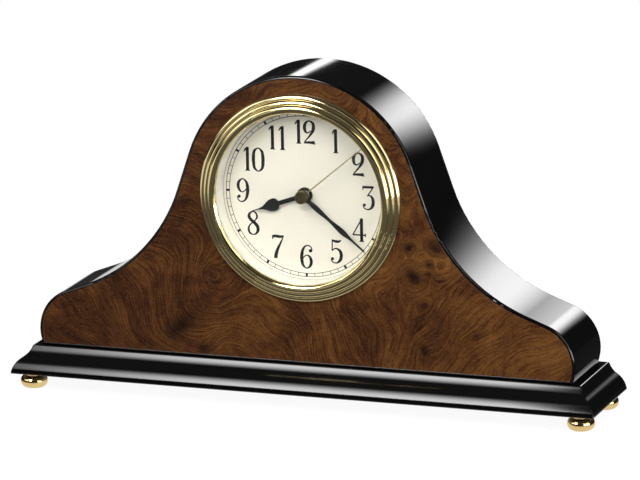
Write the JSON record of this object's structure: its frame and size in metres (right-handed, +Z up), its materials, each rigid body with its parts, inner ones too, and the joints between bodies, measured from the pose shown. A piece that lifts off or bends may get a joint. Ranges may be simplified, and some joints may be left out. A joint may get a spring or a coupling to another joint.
{
  "type": "tambour mantel clock",
  "caption": "Tambour mantel clock: black lacquer case with burl veneer front on a moulded plinth with bun feet, reeded brass bezel, glazed dial and a geared quartz movement.",
  "frame": {"origin": "centre of the footprint, on the surface that the feet stand on", "axes": "+X to the right seen from the front, +Y to the back, +Z up; the dial faces -Y"},
  "size_m": [0.2826, 0.0522, 0.1548],
  "materials": {
    "black_lacquer": "high gloss",
    "burl_veneer": "gloss",
    "polished_brass": "polished",
    "clear_glass": "clear",
    "cream_dial": "matte",
    "cream_plastic": "satin",
    "black_hand": "satin",
    "gilt": "satin",
    "bronze": "polished",
    "steel": "bright",
    "rubber_black": "matte",
    "black_plastic": "satin",
    "white_plastic": "satin",
    "copper": "lacquered wire",
    "board_green": "solder resist",
    "magnet_grey": "sintered",
    "cell_sleeve": "printed sleeve"
  },
  "bodies": {
    "case": {"case_body": "black_lacquer", "plinth": "black_lacquer", "front_veneer": "burl_veneer", "feet": "polished_brass", "bezel": "polished_brass", "lens": "clear_glass", "lens_gasket": "rubber_black", "dial_ring": "cream_plastic", "dial": "cream_dial", "plinth_screws": "steel", "insert_cup": "black_plastic", "bore_grip_ring": "rubber_black", "mount_screws": "steel", "movement_front_case": "black_plastic", "movement_rear_case": "black_plastic", "movement_screws": "steel", "mid_plate": "white_plastic", "centre_bushing": "polished_brass", "stator": "steel", "coil_core": "steel", "coil_bobbin": "white_plastic", "coil_winding": "copper", "circuit_board": "board_green", "quartz_crystal": "steel", "chip_cap": "black_plastic", "plate_screws": "steel", "battery": "cell_sleeve", "positive_contact": "steel", "negative_contact": "steel"},
    "seconds": {"seconds_wheel": "white_plastic", "seconds_arbor": "steel", "seconds_hand": "gilt", "seconds_hub": "gilt", "seconds_cap": "bronze"},
    "intermediate": {"intermediate_wheel": "white_plastic"},
    "rotor": {"rotor_pinion": "white_plastic", "rotor_magnet": "magnet_grey"},
    "third": {"third_wheel": "white_plastic"},
    "centre": {"centre_wheel": "white_plastic"},
    "minute": {"minute_pipe": "polished_brass", "minute_hand": "black_hand", "hand_nut": "steel"},
    "motion": {"minute_wheel": "white_plastic"},
    "hour": {"hour_wheel": "white_plastic", "hour_hand": "black_hand"},
    "setting": {"set_shaft": "black_plastic", "set_knob": "black_plastic"}
  },
  "joints": [
    {"name": "seconds_spin", "type": "hinge", "parent": "case", "child": "seconds", "pos_m": [0, 0, 0.098], "axis": [0, 1, 0], "continuous": true},
    {"name": "intermediate_spin", "type": "hinge", "parent": "case", "child": "intermediate", "pos_m": [-0.00094, 0, 0.10876], "axis": [0, 1, 0], "continuous": true},
    {"name": "rotor_spin", "type": "hinge", "parent": "case", "child": "rotor", "pos_m": [0.00585, 0, 0.11268], "axis": [0, 1, 0], "continuous": true},
    {"name": "third_spin", "type": "hinge", "parent": "case", "child": "third", "pos_m": [-0.00985, 0, 0.10064], "axis": [0, 1, 0], "continuous": true},
    {"name": "centre_spin", "type": "hinge", "parent": "case", "child": "centre", "pos_m": [0, 0, 0.098], "axis": [0, 1, 0], "continuous": true},
    {"name": "minute_spin", "type": "hinge", "parent": "case", "child": "minute", "pos_m": [0, 0, 0.098], "axis": [0, 1, 0], "continuous": true},
    {"name": "motion_spin", "type": "hinge", "parent": "case", "child": "motion", "pos_m": [0.00927, 0, 0.09552], "axis": [0, 1, 0], "continuous": true},
    {"name": "hour_spin", "type": "hinge", "parent": "case", "child": "hour", "pos_m": [0, 0, 0.098], "axis": [0, 1, 0], "continuous": true},
    {"name": "setting_spin", "type": "hinge", "parent": "case", "child": "setting", "pos_m": [0.01663, 0, 0.10169], "axis": [0, 1, 0], "continuous": true}
  ],
  "couplings": [
    {"joint": "intermediate_spin", "follows": "seconds_spin", "ratio": -5},
    {"joint": "rotor_spin", "follows": "seconds_spin", "ratio": 30},
    {"joint": "third_spin", "follows": "seconds_spin", "ratio": -0.13333},
    {"joint": "centre_spin", "follows": "seconds_spin", "ratio": 0.016667},
    {"joint": "motion_spin", "follows": "minute_spin", "ratio": -0.33333},
    {"joint": "hour_spin", "follows": "minute_spin", "ratio": 0.083333},
    {"joint": "setting_spin", "follows": "minute_spin", "ratio": 1}
  ]
}
